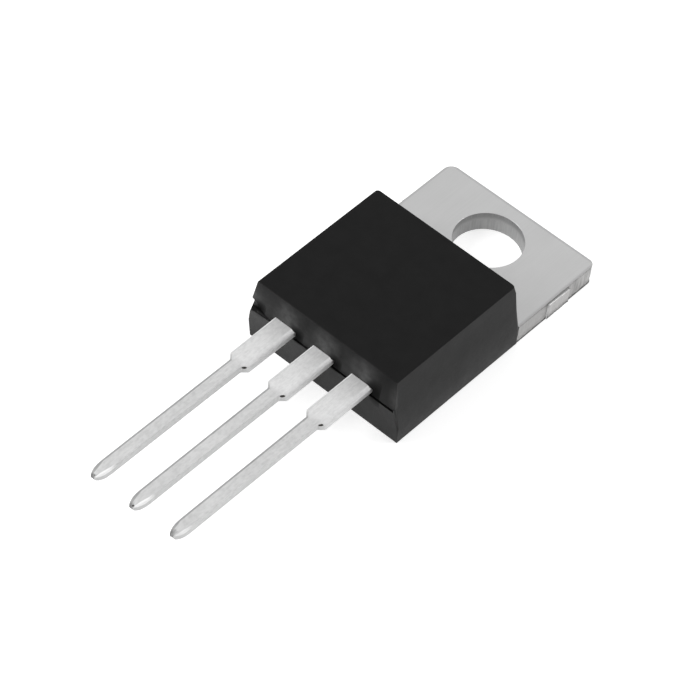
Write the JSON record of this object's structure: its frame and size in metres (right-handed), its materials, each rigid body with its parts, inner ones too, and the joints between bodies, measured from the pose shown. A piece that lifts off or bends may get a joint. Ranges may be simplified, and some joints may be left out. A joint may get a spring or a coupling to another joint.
{
  "type": "triac",
  "caption": "AC power switch: a flat black moulded body with a plated metal mounting tab, a screw hole and straight solder leads.",
  "frame": {"origin": "centre of the mounting hole, on the back face of the tab", "axes": "+Z out of the moulded front, +Y towards the free end of the tab, the leads run to -Y, and seen from the front with the leads down they are MT1 at -X, MT2 in the middle and the gate at +X"},
  "size_m": [0.01, 0.0291, 0.0044],
  "materials": {
    "moulding": "fine matt moulded epoxy, nearly black",
    "tab_plating": "satin nickel plating on rolled copper",
    "lead_tin": "semi-bright tin plating on stamped copper",
    "solder": "dull grey soft solder",
    "ceramic": "matt white fired alumina",
    "silicon": "polished silicon with a bright metallised top"
  },
  "bodies": {
    "root": {"mould_body": "moulding", "heatsink_tab": "tab_plating", "tab_solder": "solder", "ceramic_insulator": "ceramic", "pad_solder": "solder", "mt2_lead": "lead_tin", "die_solder": "solder", "triac_chip": "silicon", "mt1_solder": "solder", "gate_solder": "solder", "mt1_lead": "lead_tin", "gate_lead": "lead_tin"}
  },
  "joints": []
}
